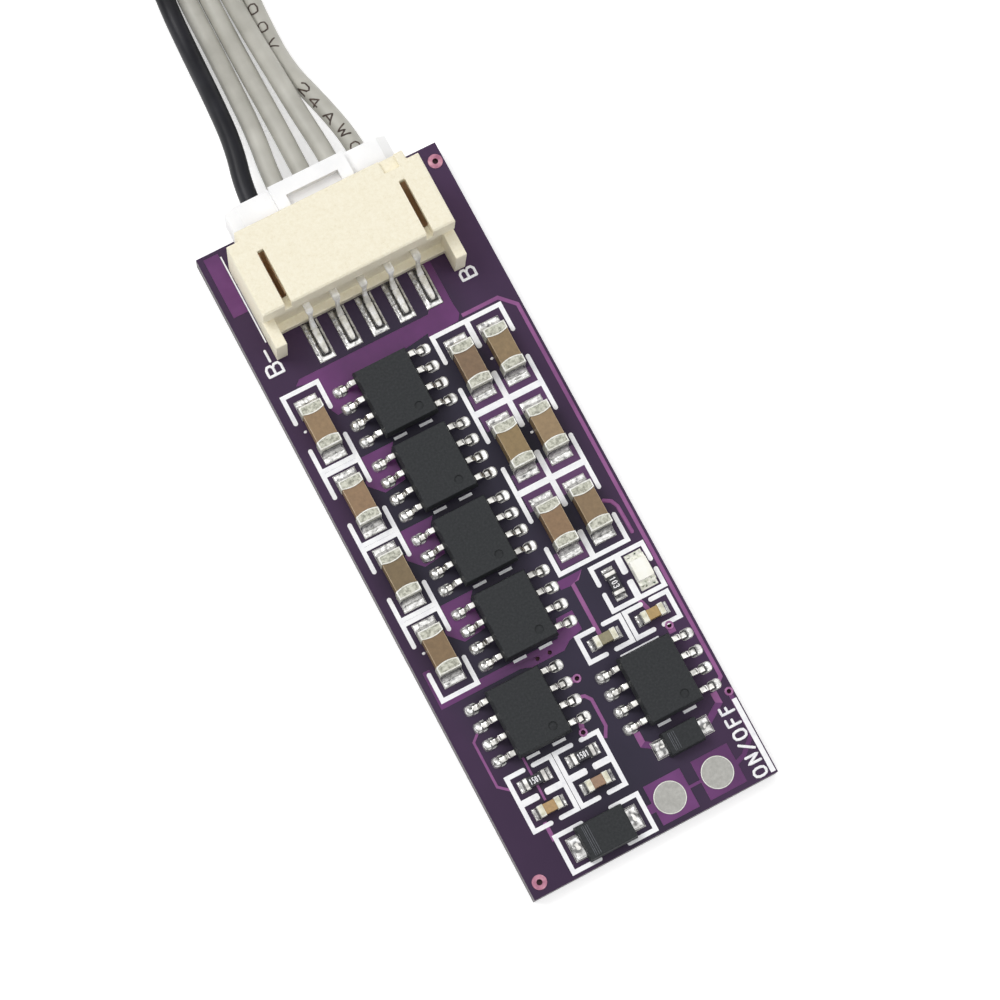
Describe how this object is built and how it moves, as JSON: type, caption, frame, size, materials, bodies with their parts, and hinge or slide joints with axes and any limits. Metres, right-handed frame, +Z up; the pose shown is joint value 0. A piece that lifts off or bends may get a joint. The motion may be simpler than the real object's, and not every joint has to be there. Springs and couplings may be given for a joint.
{
  "type": "active balancer board",
  "caption": "Small rectangular circuit board with a side-entry wire header and its mated plug with leads, eight-lead chips and rows of ceramic capacitors for active cell balancing.",
  "frame": {"origin": "centre of the board's underside", "axes": "+Y along the board to the connector edge, +X across the board, +Z up out of the component side"},
  "size_m": [0.0262, 0.0973, 0.0071],
  "materials": {
    "black_insulation": "satin",
    "capacitor_brown": "ceramic",
    "cream_plastic": "moulded",
    "dark_plastic": "moulded",
    "grey_insulation": "satin",
    "legend_white": "printed",
    "lens": "translucent",
    "purple_copper": "satin solder mask over copper",
    "purple_mask": "satin solder mask",
    "tinned": "tinned",
    "white_plastic": "moulded"
  },
  "bodies": {
    "root": {"balance_capacitor_1": "capacitor_brown", "balance_capacitor_10": "capacitor_brown", "balance_capacitor_2": "capacitor_brown", "balance_capacitor_3": "capacitor_brown", "balance_capacitor_4": "capacitor_brown", "balance_capacitor_5": "capacitor_brown", "balance_capacitor_6": "capacitor_brown", "balance_capacitor_7": "capacitor_brown", "balance_capacitor_8": "capacitor_brown", "balance_capacitor_9": "capacitor_brown", "balance_capacitor_ends": "tinned", "black_lead": "black_insulation", "chip_1_body": "dark_plastic", "chip_1_leads": "tinned", "chip_2_body": "dark_plastic", "chip_2_leads": "tinned", "chip_3_body": "dark_plastic", "chip_3_leads": "tinned", "chip_4_body": "dark_plastic", "chip_4_leads": "tinned", "chip_5_body": "dark_plastic", "chip_5_leads": "tinned", "chip_6_body": "dark_plastic", "chip_6_leads": "tinned", "circuit_board": "purple_mask", "copper_areas": "purple_copper", "grey_lead_1": "grey_insulation", "grey_lead_2": "grey_insulation", "grey_lead_3": "grey_insulation", "grey_lead_4": "grey_insulation", "header_contacts": "tinned", "header_housing": "cream_plastic", "header_solder_tabs": "tinned", "indicator_light_base": "white_plastic", "indicator_light_lens": "lens", "indicator_light_terminals": "tinned", "large_diode_body": "dark_plastic", "large_diode_tabs": "tinned", "lead_coil": "grey_insulation", "legend_print": "legend_white", "light_resistor": "dark_plastic", "light_resistor_ends": "tinned", "plug_housing": "white_plastic", "plug_terminals": "tinned", "small_capacitor_1": "capacitor_brown", "small_capacitor_2": "capacitor_brown", "small_capacitor_3": "capacitor_brown", "small_capacitor_4": "capacitor_brown", "small_capacitor_ends": "tinned", "small_diode_body": "dark_plastic", "small_diode_tabs": "tinned", "switch_lands": "tinned", "timing_resistor_1": "dark_plastic", "timing_resistor_2": "dark_plastic", "timing_resistor_ends": "tinned", "tinned_lands": "tinned", "tooling_hole_rings": "tinned"}
  },
  "joints": []
}
